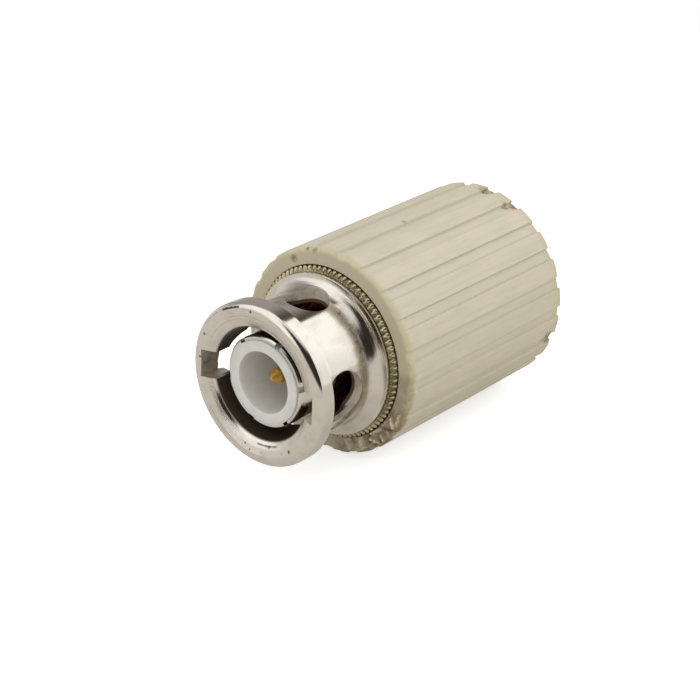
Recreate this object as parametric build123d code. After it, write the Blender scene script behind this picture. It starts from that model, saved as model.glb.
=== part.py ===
from build123d import *
import os
from math import acos, atan2, cos, hypot, pi, radians, sin

# Coaxial bayonet terminator: a plug with a resistor inside, in a ribbed insulating cover.
# Millimetres. On its side it rolls, so it stands on its closed back: the plug's axis is the Z axis,
# the mouth is at z = 0 and faces +Z. Angles run from +X towards +Y.
# The pieces are drawn lying, with depths behind the mouth along +Y, and upright() stands them up.

# Outer contact: the slotted tube in front of the plug body
contact_radius = 4.05
contact_wall = 0.35
contact_front = 1.1
contact_tip_chamfer = 0.12
contact_root_step = 0.3
finger_count = 6
finger_slot_width = 0.55
finger_slot_length = 6.6
finger_slot_angle = 7.0

# Coupling nut, inside: room for the jack's barrel, and a shoulder that pulls the flange
bore_room = 0.9
mouth_lead = 0.31
mouth_dish = 0.22
mouth_chamfer = 0.33
shoulder_depth = 11.2
chamber_wall = 1.4
ring_groove_depth = 0.4
nut_end_wall = 0.85

# Bayonet openings: the jack's two studs enter by slots and turn a quarter turn to the holes
stud_count = 2
slot_angle = -3.0
slot_width = 2.5
slot_reach = 1.2
window_radius = 2.3
window_depth = 4.1
window_turn = 3.6
pocket_length = 1.8
pocket_half_width = 1.43
cam_reach = 0.6
cam_width = 2.3
cam_rise = 1.8
cam_turn = 92.3
lock_hole_radius = 1.87

# Coupling nut, outside
ring_wall = 1.0
ring_length = 1.68
ring_nose_width = 0.5
ring_nose_length = 0.4
ring_edge_break = 0.06
ring_fillet = 0.98
barrel_wall = 0.5
flare_start = 7.05
flare_length = 1.15
flare_rise = 1.15
lip_height = 0.03
lip_length = 0.25
undercut_depth = 0.25
undercut_length = 0.2
knurl_step = 0.47
knurl_chamfer = 0.15

# Plug body behind the contact
flange_thickness = 1.1
tail_step = 1.3
tail_wall = 0.8
tail_engagement = 2.6

# White insulator and its bead
insulator_lead = 0.15
insulator_wall = 0.95
insulator_cavity_depth = 6.3
insulator_tail = 0.25
bead_thickness = 1.0

# Gold centre contact
pin_radius = 0.675
pin_tip = 1.9
pin_nose_radius = 0.3
pin_taper_length = 0.675
stem_radius = 0.9
collar_radius = 1.15
collar_front = 9.0
cup_radius = 0.9
cup_bore_radius = 0.45
cup_length = 0.8
cup_bore_length = 2.2

# Gasket, washers and snap ring
gasket_thickness = 1.0
washer_thickness = 0.3
spring_travel = 0.6
wave_sheet = 0.2
wave_count = 3
wave_samples = 8
snap_ring_thickness = 0.5
snap_ring_width = 1.15
snap_ring_gap = 40.0

# Resistor
lead_radius = 0.3
lead_engagement = 1.6
lead_length = 1.4
core_radius = 1.35
core_length = 8.0
cap_radius = 1.6
cap_wall = 0.2
cap_length = 1.4
sleeve_wall = 0.3
sleeve_overhang = 0.5

# Rear shell and end disc
shell_distance = 0.5
shell_wall = 0.65
shell_end_room = 3.1
shell_rim = 0.15
end_disc_thickness = 1.0
solder_height = 0.45
solder_radius = 1.3

# Insulating cover
cover_wall = 1.53
knurl_show = 0.38
cover_end_room = 1.5
cover_floor = 1.6
cover_step = 0.5
cover_front_round = 0.2
cover_back_round = 0.2
rib_count = 21
rib_groove_width = 1.03
rib_groove_depth = 0.25

# Clearances
press_gap = 0.02
running_gap = 0.05
seat_gap = 0.02
grip_gap = 0.01
overcut = 1.0


def turned(*outline):
    """A turned solid: corners given as (radius, depth), spun about the plug's axis."""
    return revolve(make_face(Polyline(*outline, close=True)), axis=Axis.Y)


def tube(inner, outer, front, back):
    return turned((inner, front), (outer, front), (outer, back), (inner, back))


def rod(radius, front, back):
    return turned((0, front), (radius, front), (radius, back), (0, back))


def at_angle(angle):
    """Turns a piece drawn on the +X side round the plug's axis, to the angle."""
    return Rot(0, -angle, 0)


def radial_pin(radius, near, far, depth):
    """A round cutter that points along +X, from one radius to another, at a depth."""
    return Pos((near + far) / 2, depth, 0) * Rot(0, 90, 0) * Cylinder(radius, far - near)


def block(near, far, front, back, low, high):
    """A square cutter on the +X side, between two radii, two depths and two heights."""
    return Pos((near + far) / 2, (front + back) / 2, (low + high) / 2) * Box(
        far - near, back - front, high - low
    )


def arc_middle(run, rise):
    """The middle of an arc that starts along its run and ends at its full run and rise."""
    radius = (run**2 + rise**2) / (2 * rise)
    half = atan2(rise, run)
    return radius * sin(half), radius * (1 - cos(half))


# Radii that follow from the sizes above, from the contact outwards
contact_bore = contact_radius - contact_wall
contact_root_radius = contact_radius + contact_root_step
insulator_radius = contact_bore - press_gap
insulator_cavity_radius = insulator_radius - insulator_wall
bore_radius = contact_radius + bore_room
mouth_radius = bore_radius + mouth_lead
cam_floor_radius = bore_radius + cam_reach
slot_floor_radius = bore_radius + slot_reach
ring_radius = slot_floor_radius + ring_wall
barrel_radius = cam_floor_radius + barrel_wall
flare_end_radius = barrel_radius + flare_rise
lip_radius = flare_end_radius + lip_height
knurl_radius = lip_radius + knurl_step
chamber_radius = knurl_radius - chamber_wall
ring_groove_radius = chamber_radius + ring_groove_depth
flange_radius = chamber_radius - running_gap
tail_radius = chamber_radius - tail_step
resistor_bore_radius = tail_radius - tail_wall
cover_bore = knurl_radius + grip_gap
cover_step_radius = knurl_radius - cover_step
cover_radius = cover_bore + cover_wall

# Depths that follow, from the mouth to the back
lock_depth = window_depth + cam_rise
pocket_back = window_depth + pocket_length
lip_depth = flare_start + flare_length
undercut_front = lip_depth + lip_length
knurl_front = undercut_front + undercut_length
cover_front = knurl_front + knurl_show
insulator_front = contact_front - insulator_lead
flange_front = shoulder_depth + running_gap
flange_back = flange_front + flange_thickness
gasket_front = flange_front - gasket_thickness
insulator_back = flange_back + insulator_tail
bead_back = insulator_back + bead_thickness
cup_end = bead_back + cup_length
washer_front = flange_back + seat_gap
washer_back = washer_front + washer_thickness
wave_front = washer_back + seat_gap
wave_back = wave_front + wave_sheet + spring_travel + 2 * seat_gap
snap_ring_front = wave_back + seat_gap
snap_ring_back = snap_ring_front + snap_ring_thickness
nut_length = snap_ring_back + nut_end_wall
shell_front = nut_length + shell_distance
tail_end = shell_front + tail_engagement
resistor_front = cup_end + lead_length
resistor_back = resistor_front + core_length + 2 * cap_wall
shell_back = resistor_back + shell_end_room
end_disc_back = shell_back - shell_rim
end_disc_front = end_disc_back - end_disc_thickness
lead_end = end_disc_back + solder_height / 2
cover_back = shell_back + cover_end_room + cover_floor


def nut_blank():
    """The nut as it leaves the lathe: ring, barrel, flare, lip, knurled band and stepped bore."""
    nose_start = ring_radius - ring_nose_width
    face_middle = ((mouth_radius + nose_start) / 2, mouth_dish * 0.3)
    nose_run, nose_rise = arc_middle(ring_nose_width, ring_nose_length)
    nose_middle = (nose_start + nose_run, nose_rise)
    ring_back_radius = ring_radius - ring_edge_break
    fillet = min(ring_fillet, ring_back_radius - ring_edge_break - barrel_radius)
    fillet_end = ring_length + fillet
    fillet_run, fillet_rise = arc_middle(fillet, fillet)
    fillet_middle = (barrel_radius + fillet_rise, fillet_end - fillet_run)
    flare_run, flare_climb = arc_middle(flare_length, flare_rise)
    flare_middle = (barrel_radius + flare_climb, flare_start + flare_run)
    undercut_radius = lip_radius - undercut_depth
    band_chamfer_radius = knurl_radius - knurl_chamfer
    outline = [
        Line((bore_radius, mouth_dish + mouth_chamfer), (mouth_radius, mouth_dish)),
        ThreePointArc((mouth_radius, mouth_dish), face_middle, (nose_start, 0)),
        ThreePointArc((nose_start, 0), nose_middle, (ring_radius, ring_nose_length)),
        Polyline(
            (ring_radius, ring_nose_length),
            (ring_radius, ring_length - ring_edge_break),
            (ring_back_radius, ring_length),
            (barrel_radius + fillet, ring_length),
        ),
        ThreePointArc((barrel_radius + fillet, ring_length), fillet_middle, (barrel_radius, fillet_end)),
        Line((barrel_radius, fillet_end), (barrel_radius, flare_start)),
        ThreePointArc((barrel_radius, flare_start), flare_middle, (flare_end_radius, lip_depth)),
        Polyline(
            (flare_end_radius, lip_depth),
            (lip_radius, lip_depth),
            (lip_radius, undercut_front),
            (undercut_radius, undercut_front),
            (undercut_radius, knurl_front),
            (band_chamfer_radius, knurl_front),
            (knurl_radius, knurl_front + knurl_chamfer),
            (knurl_radius, nut_length - knurl_chamfer),
            (band_chamfer_radius, nut_length),
            (chamber_radius, nut_length),
            (chamber_radius, shoulder_depth),
            (bore_radius, shoulder_depth),
            (bore_radius, mouth_dish + mouth_chamfer),
        ),
    ]
    return revolve(make_face(outline), axis=Axis.Y)


def cam_groove():
    """The helical groove in the nut's bore that draws a stud in as the nut turns."""
    inner = bore_radius - overcut
    pitch = cam_rise * 360 / cam_turn
    path = Helix(pitch=pitch, height=cam_rise, radius=cam_floor_radius)
    start = Plane(origin=path @ 0, x_dir=(1, 0, 0), z_dir=path % 0)
    reach = cam_floor_radius - inner
    section = start * Pos(-reach / 2, 0) * Rectangle(reach, cam_width)
    groove = sweep(section, path=path, is_frenet=True)
    return Pos(0, window_depth, 0) * Rot(-90, 0, 0) * groove


def bayonet_opening():
    """One stud's way in: entry slot, window behind the ring, cam groove, locking hole."""
    inner = bore_radius - overcut
    half = slot_width / 2
    slot = block(inner, slot_floor_radius, -overcut, window_depth, -half, half)
    window = at_angle(-window_turn) * radial_pin(window_radius, inner, slot_floor_radius, window_depth)
    pocket = block(inner, slot_floor_radius, window_depth, pocket_back, 0, pocket_half_width)
    lock = at_angle(-cam_turn) * radial_pin(lock_hole_radius, inner, knurl_radius, lock_depth)
    return at_angle(slot_angle) * (slot + window + pocket + lock + cam_groove())


def coupling_nut():
    nut = nut_blank()
    nut -= tube(
        chamber_radius - overcut,
        ring_groove_radius,
        snap_ring_front - seat_gap,
        snap_ring_back + seat_gap,
    )
    for turn in range(stud_count):
        nut -= at_angle(turn * 360 / stud_count) * bayonet_opening()
    return nut


def snap_ring():
    """A flat spring ring, open at one side, that snaps into the nut's inner groove."""
    outer = ring_groove_radius - seat_gap
    ring = tube(outer - snap_ring_width, outer, snap_ring_front, snap_ring_back)
    half = outer * sin(radians(snap_ring_gap / 2))
    gap = block(0, outer + overcut, snap_ring_front - overcut, snap_ring_back + overcut, -half, half)
    return ring - at_angle(90) * gap


def thrust_washer():
    return tube(tail_radius + running_gap, flange_radius, washer_front, washer_back)


def wave_washer():
    """A spring washer bent into waves: a wavy sheet between two rings, given its thickness."""
    middle = (wave_front + wave_back) / 2
    swing = (wave_back - wave_front - wave_sheet) / 2 - seat_gap / 2

    def wavy_edge(radius):
        points = []
        samples = wave_count * wave_samples
        for step in range(samples):
            angle = 2 * pi * step / samples
            height = middle + swing * sin(wave_count * angle)
            points.append((radius * cos(angle), height, radius * sin(angle)))
        return Spline(*points, periodic=True)

    inner = wavy_edge(tail_radius + 2 * running_gap)
    outer = wavy_edge(flange_radius - running_gap)
    sheet = Face.make_surface_from_curves(inner, outer)
    return thicken(sheet, amount=wave_sheet / 2, both=True)


def plug_body():
    """One turned piece: slotted contact tube, flange and tail, bored through in two steps."""
    tip = contact_front + contact_tip_chamfer
    body = turned(
        (contact_bore, contact_front),
        (contact_radius - contact_tip_chamfer, contact_front),
        (contact_radius, tip),
        (contact_radius, gasket_front),
        (contact_root_radius, gasket_front),
        (contact_root_radius, flange_front),
        (flange_radius, flange_front),
        (flange_radius, flange_back),
        (tail_radius, flange_back),
        (tail_radius, tail_end),
        (resistor_bore_radius, tail_end),
        (resistor_bore_radius, bead_back),
        (contact_bore, bead_back),
    )
    half = finger_slot_width / 2
    slot = block(0, contact_radius + overcut, 0, contact_front + finger_slot_length, -half, half)
    for finger in range(finger_count):
        body -= at_angle(finger_slot_angle + finger * 360 / finger_count) * slot
    return body


def front_insulator():
    """The white insulator: a cup round the pin, with a stepped hole that holds the contact's collar."""
    hole = stem_radius + seat_gap
    seat = collar_radius + seat_gap
    return turned(
        (insulator_cavity_radius, insulator_front),
        (insulator_radius, insulator_front),
        (insulator_radius, insulator_back),
        (seat, insulator_back),
        (seat, collar_front),
        (hole, collar_front),
        (hole, insulator_cavity_depth),
        (insulator_cavity_radius, insulator_cavity_depth),
    )


def rear_bead():
    return tube(cup_radius + seat_gap, insulator_radius, insulator_back, bead_back)


def centre_contact():
    """The gold pin: tapered round tip, collar held between insulator and bead, solder cup at the back."""
    nose_centre = pin_tip + pin_nose_radius
    rise = pin_taper_length - pin_nose_radius
    leave_angle = atan2(rise, pin_radius) - acos(pin_nose_radius / hypot(rise, pin_radius))
    middle_angle = (leave_angle - pi / 2) / 2
    nose_middle = (pin_nose_radius * cos(middle_angle), nose_centre + pin_nose_radius * sin(middle_angle))
    nose_end = (pin_nose_radius * cos(leave_angle), nose_centre + pin_nose_radius * sin(leave_angle))
    cup_floor = cup_end - cup_bore_length
    outline = [
        ThreePointArc((0, pin_tip), nose_middle, nose_end),
        Polyline(
            nose_end,
            (pin_radius, pin_tip + pin_taper_length),
            (pin_radius, insulator_cavity_depth),
            (stem_radius, insulator_cavity_depth),
            (stem_radius, collar_front),
            (collar_radius, collar_front),
            (collar_radius, insulator_back),
            (cup_radius, insulator_back),
            (cup_radius, cup_end),
            (cup_bore_radius, cup_end),
            (cup_bore_radius, cup_floor),
            (0, cup_floor),
            (0, pin_tip),
        ),
    ]
    return revolve(make_face(outline), axis=Axis.Y)


def gasket():
    outer = bore_radius - 2 * running_gap
    return tube(contact_root_radius + seat_gap, outer, gasket_front, flange_front)


def resistor_core():
    front = resistor_front + cap_wall
    return rod(core_radius, front, front + core_length)


def resistor_cap(front, facing):
    """A pressed cup over the core's end: its closed wall is at the front, and facing 1 or -1."""
    closed = front + facing * cap_wall
    open_end = front + facing * cap_length
    return turned(
        (0, front),
        (cap_radius, front),
        (cap_radius, open_end),
        (core_radius, open_end),
        (core_radius, closed),
        (0, closed),
    )


def insulating_sleeve():
    inner = cap_radius + running_gap
    front = resistor_front - sleeve_overhang
    return tube(inner, inner + sleeve_wall, front, resistor_back + sleeve_overhang)


def front_lead():
    return rod(lead_radius, cup_end - lead_engagement, resistor_front)


def rear_lead():
    return rod(lead_radius, resistor_back, lead_end)


def front_solder():
    """Solder that fills the contact's cup round the lead, with a small cone outside it."""
    bottom = cup_end - lead_engagement
    return turned(
        (lead_radius, bottom),
        (cup_bore_radius, bottom),
        (cup_bore_radius, cup_end),
        (cup_radius * 0.8, cup_end),
        (lead_radius, cup_end + solder_height),
    )


def rear_solder():
    """The solder dome where the resistor's far lead passes through the end disc."""
    top = end_disc_back + solder_height
    run, drop = arc_middle(solder_radius, solder_height)
    middle = (run, top - drop)
    outline = [
        ThreePointArc((solder_radius, end_disc_back), middle, (0, top)),
        Polyline(
            (0, top),
            (0, lead_end),
            (lead_radius, lead_end),
            (lead_radius, end_disc_back),
            (solder_radius, end_disc_back),
        ),
    ]
    return revolve(make_face(outline), axis=Axis.Y)


def end_disc():
    return tube(lead_radius, tail_radius, end_disc_front, end_disc_back)


def rear_shell():
    """The metal tube pressed over the body's tail, which holds the end disc at its back."""
    inner = tail_radius + press_gap
    outer = inner + shell_wall
    chamfer = shell_wall / 3
    return turned(
        (inner, shell_front),
        (outer - chamfer, shell_front),
        (outer, shell_front + chamfer),
        (outer, shell_back - chamfer),
        (outer - chamfer, shell_back),
        (inner, shell_back),
    )


def cover_envelope():
    """The cover without its grooves: rounded rims, stepped bore and a closed back."""
    front_middle = (
        cover_radius - cover_front_round * (1 - cos(pi / 4)),
        cover_front + cover_front_round * (1 - sin(pi / 4)),
    )
    back_middle = (
        cover_radius - cover_back_round * (1 - cos(pi / 4)),
        cover_back - cover_back_round * (1 - sin(pi / 4)),
    )
    step = nut_length + seat_gap
    floor = cover_back - cover_floor
    front_corner = (cover_radius - cover_front_round, cover_front)
    back_corner = (cover_radius - cover_back_round, cover_back)
    outline = [
        Line((cover_bore, cover_front), front_corner),
        ThreePointArc(front_corner, front_middle, (cover_radius, cover_front + cover_front_round)),
        Line((cover_radius, cover_front + cover_front_round), (cover_radius, cover_back - cover_back_round)),
        ThreePointArc((cover_radius, cover_back - cover_back_round), back_middle, back_corner),
        Polyline(
            back_corner,
            (0, cover_back),
            (0, floor),
            (cover_step_radius, floor),
            (cover_step_radius, step),
            (cover_bore, step),
            (cover_bore, cover_front),
        ),
    ]
    return revolve(make_face(outline), axis=Axis.Y)


def insulating_cover():
    """The moulded cover: flat ribs with shallow grooves between them, one groove at -90 degrees."""
    cover = cover_envelope()
    half = rib_groove_width / 2
    groove = block(
        cover_radius - rib_groove_depth,
        cover_radius + overcut,
        cover_front - overcut,
        cover_back + overcut,
        -half,
        half,
    )
    for rib in range(rib_count):
        cover -= at_angle(rib * 360 / rib_count - 90) * groove
    return cover


def pieces():
    """Every piece of the terminator under the name of its file."""
    return {
        "insulating_cover": insulating_cover(),
        "coupling_nut": coupling_nut(),
        "snap_ring": snap_ring(),
        "wave_washer": wave_washer(),
        "thrust_washer": thrust_washer(),
        "gasket": gasket(),
        "plug_body": plug_body(),
        "front_insulator": front_insulator(),
        "rear_bead": rear_bead(),
        "centre_contact": centre_contact(),
        "front_solder": front_solder(),
        "front_lead": front_lead(),
        "resistor_front_cap": resistor_cap(resistor_front, 1),
        "resistor_core": resistor_core(),
        "resistor_rear_cap": resistor_cap(resistor_back, -1),
        "rear_lead": rear_lead(),
        "insulating_sleeve": insulating_sleeve(),
        "rear_shell": rear_shell(),
        "end_disc": end_disc(),
        "rear_solder": rear_solder(),
    }


def upright(solid):
    """Stands a piece on the closed back: what was drawn towards +Y points down, +Z becomes +Y."""
    return Rot(-90, 0, 0) * solid


def main():
    os.makedirs("parts", exist_ok=True)
    for name, solid in pieces().items():
        export_step(upright(solid), f"parts/{name}.step")


main()
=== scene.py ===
from math import cos, degrees, floor, pi, radians, sin, tan

import bmesh
import bpy
from mathutils import Euler, Matrix, Vector
from mathutils.noise import noise as bumps

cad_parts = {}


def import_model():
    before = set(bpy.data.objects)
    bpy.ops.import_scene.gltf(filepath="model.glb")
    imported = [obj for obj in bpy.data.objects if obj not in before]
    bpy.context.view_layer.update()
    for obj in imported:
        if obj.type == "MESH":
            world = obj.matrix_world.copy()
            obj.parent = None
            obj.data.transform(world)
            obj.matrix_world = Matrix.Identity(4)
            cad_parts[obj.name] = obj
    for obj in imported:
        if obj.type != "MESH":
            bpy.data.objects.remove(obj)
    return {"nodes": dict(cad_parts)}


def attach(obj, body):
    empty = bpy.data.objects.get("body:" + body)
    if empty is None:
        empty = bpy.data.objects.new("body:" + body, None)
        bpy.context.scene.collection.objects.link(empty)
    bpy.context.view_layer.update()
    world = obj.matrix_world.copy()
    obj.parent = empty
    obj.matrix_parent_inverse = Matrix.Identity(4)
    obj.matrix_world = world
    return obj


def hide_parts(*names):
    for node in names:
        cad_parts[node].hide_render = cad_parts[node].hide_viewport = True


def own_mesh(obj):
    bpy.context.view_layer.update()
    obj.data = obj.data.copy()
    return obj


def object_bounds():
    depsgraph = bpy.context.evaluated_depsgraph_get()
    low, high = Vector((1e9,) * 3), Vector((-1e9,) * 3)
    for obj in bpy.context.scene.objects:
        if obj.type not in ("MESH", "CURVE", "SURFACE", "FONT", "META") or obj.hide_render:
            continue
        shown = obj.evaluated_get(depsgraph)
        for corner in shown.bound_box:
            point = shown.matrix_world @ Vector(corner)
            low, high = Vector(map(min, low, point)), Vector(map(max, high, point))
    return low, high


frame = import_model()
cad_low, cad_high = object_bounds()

# Coaxial bayonet terminator. It stands on its closed back, with its mouth at z = 0, but the photograph
# shows it lying on its side. So everything here is written lying: the plug's axis is Y, its mouth is
# at y = 0 and faces -Y, +Z is up, and UPRIGHT turns it all, the paper that it lies on, the camera and
# the light too, to where the part stands.
# Sizes are in millimetres and angles in degrees from +X towards +Z; MM turns them into metres.
MM = 0.001
UPRIGHT = Matrix.Rotation(-pi / 2, 4, "X")

# Camera, worked out from the circles of the ring, the insulator and the cover in the photograph
CAMERA_AZIMUTH = 40.29
CAMERA_ELEVATION = 24.52
CAMERA_PLACE = (95.82, -101.05, 66.71)
CAMERA_LENS = 97.25
SENSOR_WIDTH = 36.0

# Coupling nut: radii, and depths behind the mouth
BORE_RADIUS = 4.95
MOUTH_RADIUS = 5.28
MOUTH_DEPTH = 0.38
LEAD_RADIUS = 5.68
LEAD_DEPTH = 0.185
MOUTH_CHAMFER = 0.2
CREST_RADIUS = 6.3
CREST_ROUND = 0.08
RING_RADIUS = 7.15
RING_LENGTH = 1.68
NOSE_WIDTH = 0.76
NOSE_LENGTH = 0.46
EDGE_BREAK = 0.06
RING_FILLET = 0.98
BARREL_RADIUS = 6.05
FLARE_START = 7.05
FLARE_ARC = 1.15
LIP_RADIUS = 7.23
LIP_BACK = 8.45
LIP_BREAK = 0.04
UNDERCUT_RADIUS = 7.1
KNURL_FRONT = 8.56
KNURL_RADIUS = 7.7
KNURL_CHAMFER = 0.32
KNURL_DEPTH = 0.2
KNURL_BACK = 9.7
KNURL_COUNT = 85
KNURL_TILT = 30.0
# Slope of the diamonds' sides, and how far the band and the nut itself reach below the grooves
KNURL_SLOPE = 1.8
BAND_SUNK = 0.1
NUT_SUNK = 0.03
# Grid of the knurl: columns for each diamond, then rows with their distance
KNURL_COLUMNS = 10
KNURL_ROWS = 15
KNURL_ROW_STEP = 0.045
SHOULDER_DEPTH = 11.2
CHAMBER_RADIUS = 6.3
NUT_LENGTH = 14.9
NUT_SEGMENTS = 360

# Openings in the nut
SLOT_ANGLE = -3.0
SLOT_WIDTH = 2.5
SLOT_FLOOR = 6.15
WINDOW_RADIUS = 2.3
WINDOW_DEPTH = 4.1
WINDOW_TURN = 3.6
POCKET_BACK = 5.9
POCKET_HALF_WIDTH = 1.43
CAM_FLOOR = 5.55
CAM_WIDTH = 2.3
CAM_RISE = 1.8
CAM_TURN = 92.3
LOCK_RADIUS = 1.87
CUTTER_INNER = BORE_RADIUS - 0.8
# Broken edges: their width, and the angles from which an edge is broken or shaded sharp
EDGE_SOFTNESS = 0.03
BROKEN_ANGLE = 38
SHARP_ANGLE = 35

# Nickel plate; deep in the holes the cut walls are coloured the bore's dark brown inside the radius given
# here
NICKEL_BRIGHT = "#E6E0D5"
NICKEL_DULL = "#BDB3A3"
# Brown for the grime, and for the painted dark reflection at the flare's foot
NICKEL_GRIME_AND_REFLECTION = "#5A4A38"
DARK_WALL_RADIUS = 5.28
BORE_STAIN = "#40362A"
BORE_BROWN_DEEP = "#6A4A3A"
CUT_BRIGHT = "#E2DBCB"
CUT_DULL = "#A89B84"
KNURL_BRIGHT = "#D9CDA6"
KNURL_GRIME = "#463820"
# How much the turning marks change from place to place
MARK_DRIFT = 0.02
# Bands of brown grime, at the foot of the flare also a painted dark reflection: first and last depth,
# first and last angle, softness, strength
GRIME_AND_REFLECTION_BANDS = (
    # The first four bands, at the foot of the flare, are grime and a painted dark reflection
    (6.35, 7.25, 48, 63, 0.45, 1.0),
    (6.5, 7.25, 20, 48, 0.45, 1.0),
    (6.3, 7.2, -6, 22, 0.45, 0.65),
    (6.1, 7.3, -30, -8, 0.45, 0.5),
    (4.3, 7.6, 98, 112, 0.4, 0.7),
    (3.4, 4.4, 88, 104, 0.4, 0.5),
)
# Dark scratches on the ring's nose: inner and outer radius, first and last angle, softness, strength
SCRATCHES = (
    (6.7, 6.88, 104, 121, 0.05, 1.8),
    (6.8, 6.84, 121, 144, 0.03, 1.1),
    (6.6, 6.64, 84, 103, 0.04, 0.6),
    (6.55, 6.58, 60, 84, 0.02, 0.6),
    (5.98, 6.06, 72, 118, 0.05, 0.45),
    (5.74, 5.8, 75, 150, 0.03, 0.35),
    (6.2, 6.3, -150, -112, 0.05, 0.35),
    (5.3, 5.45, -92, -68, 0.06, 1.1),
    (6.0, 6.03, -30, 60, 0.03, 0.4),
)
# Spots of grime: radius, depth, angle, size
GRIME_SPOTS = (
    (6.43, 0.02, 151, 0.2),
    (6.53, 0.02, 93, 0.22),
    (5.4, 0.2, -78, 0.3),
    (5.97, 0.02, -54, 0.28),
    (5.95, 0.02, -63, 0.16),
    (5.95, 0.02, -86, 0.16),
    (6.1, 0.05, -98, 0.14),
    (5.8, 0.1, -104, 0.16),
    (6.3, 0.05, 172, 0.2),
)

# Insulating cover: radii, and depths behind the mouth
COVER_RADIUS = 9.24
COVER_BORE = 7.71
COVER_FRONT = 9.03
COVER_BACK = 30.4
COVER_STEP = 14.92
COVER_STEP_RADIUS = 7.2
COVER_FLOOR = 28.8
BACK_ROUND = 0.2
# Two flat discs of this radius close the middle of the back wall
INNER_ROW = 0.4
# The rows lie closer from here to the back, for the dents
CLOSE_ROWS = 28
RIB_COUNT = 21
GROOVE_WIDTH = 1.03
GROOVE_DEPTH = 0.25
GROOVE_EDGE = 0.07
GROOVE_END_DEPTH = 0.45
GROOVE_RUN_OUT = 0.6
# Columns of the cover: distances from a groove's middle, then from its edge
GROOVE_COLUMNS = (0.18, 0.34)
EDGE_COLUMNS = (-0.06, -0.035, -0.01, 0.01, 0.035, 0.06, 0.13, 0.24, 0.36, 0.5, 0.65, 0.78)
# Round of the worn front edge: its mean and how far it varies
FRONT_WEAR = (0.38, 0.2)
# Dents: depth, angle, half length, half width, how deep
DENTS = (
    (29.75, 84, 0.55, 0.42, 0.2),
    (30.1, 79, 0.4, 0.3, 0.14),
    (29.3, 66.5, 1.1, 0.3, 0.15),
    (30.0, 64.5, 0.5, 0.35, 0.16),
    (29.3, -19, 0.9, 0.6, 0.24),
    (30.0, -24, 0.5, 0.7, 0.2),
    (30.2, 33, 0.3, 0.5, 0.1),
    (30.2, 18, 0.3, 0.4, 0.08),
    (18.4, 86, 0.5, 0.12, 0.03),
    (9.1, 107, 0.5, 0.35, 0.14),
    (9.1, 72, 0.4, 0.3, 0.1),
    (9.1, 44, 0.4, 0.35, 0.12),
    (9.1, 14, 0.4, 0.3, 0.1),
    (9.1, -12, 0.4, 0.35, 0.12),
)
# How ragged the dents are, and at how many bumps for each millimetre
RAGGED = (0.35, 4.5)
# Colours of the moulded plastic, clean and worn, then of the dirt on it, of the dirt and painted shade on
# its lower front, and of the painted shade and painted highlight on the torn flash
PLASTIC = "#D3C8B3"
PLASTIC_CLOUD = "#CDC6AF"
PLASTIC_STREAK = "#BFB497"
PLASTIC_GROOVE = "#CBCAB6"
PLASTIC_WORN = "#C3BA93"
PLASTIC_FACE = "#C2B6A0"
# Brown dirt and painted shade on the lower front of the cover
COVER_SMEAR_AND_SHADE = "#8F8262"
COVER_GRIME = "#6A5C36"
# Painted shade low in the torn flash, and a painted highlight on its raised tops
FLASH_PAINTED_SHADE = "#6F5A40"
FLASH_PAINTED_HIGHLIGHT = "#E2D0B8"
# Dirt on the cover: radius, depth, angle, size
COVER_MARKS = (
    (9.1, 29.6, 84, 0.8),
    (8.9, 30.1, 80, 0.55),
    (9.1, 29.2, 66.5, 0.6),
    (8.9, 30.0, 64.5, 0.6),
    (9.0, 29.2, -19, 0.9),
    (8.9, 29.9, -23, 0.8),
    (9.22, 18.4, 86, 0.3),
    (8.43, 9.03, 116, 0.55),
    (8.99, 9.1, 99, 0.4),
    (9.1, 9.1, 104, 0.3),
)
# The front face is torn between the first two angles, and has finer columns between the others
TORN_ANGLES = (-85, -14)
FINE_ANGLES = (-90, -12)
# Torn flash on it: from radius, angle, to radius, angle, then half width and height
FLASH = (
    (8.12, -30, 8.7, -34, 0.2, 0.28),
    (8.64, -24, 8.85, -31, 0.22, 0.2),
    (7.85, -51, 7.98, -43, 0.2, 0.22),
    (8.25, -54, 8.85, -50, 0.24, 0.3),
    (8.46, -45, 8.95, -46, 0.17, 0.24),
    (7.85, -62, 8.6, -64, 0.34, 0.2),
    (8.35, -39, 8.9, -41, 0.16, 0.16),
    (8.0, -75, 8.7, -74, 0.3, 0.16),
    (8.75, -60, 8.9, -68, 0.2, 0.16),
    (7.9, -35, 8.0, -39, 0.16, 0.15),
)
# How steep its sides are, its mean height and how much that varies, and bumps for each millimetre
FLASH_SLOPE = 1.7
FLASH_HEIGHT = (0.85, 0.5)
FLASH_BUMPS = 5
# Gouges between the flash: from radius, angle, to radius, angle, then half width and depth
GOUGES = (
    (7.85, -54, 8.5, -56.5, 0.14, 0.25),
    (7.85, -70, 8.5, -69.5, 0.16, 0.25),
    (8.08, -41, 8.75, -36.5, 0.16, 0.28),
    (8.2, -20, 8.7, -19, 0.2, 0.1),
    (8.8, -56, 8.95, -47, 0.12, 0.2),
)
# How far the torn lines swerve, in millimetres along the radius and in degrees at a radius of 1, and
# bumps for each millimetre
SWERVE = 0.12
SWERVE_TURN = 60
SWERVE_BUMPS = 2.3

# Spring washer: inner and outer radius, depths of its two sides, sheet, waves and steps round it, and the
# share of its height that is left when it is pressed
WAVE_RADII = (5.1, 6.2)
WAVE_FRONT = 12.7
WAVE_BACK = 13.52
WAVE_SHEET = 0.2
WAVE_COUNT = 3
WAVE_STEPS = 96

# Paper under the part, and its light: what the camera sees, and what the part sees or mirrors
FLOOR_SIZE = 300.0
FLOOR_GAP = 0.01
PAPER = "#F4F4F4"
PAPER_SHADED = "#D4D0C8"
PAPER_MIRRORED = "#9C9994"
PAPER_GLOW = 0.58
PAPER_GLEAM = "#FFFAF4"
MIRRORED_GLOW = 0.32
# Light on matt surfaces: lowest and highest level, and the side that is lit most
MATT_LEVELS = (0.94, 1.08)
MATT_SIDE = (0.3, -0.2, 0.8)
STUDIO_LEVEL = 0.7
STUDIO_TINT = "#FFEEE2"
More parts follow.
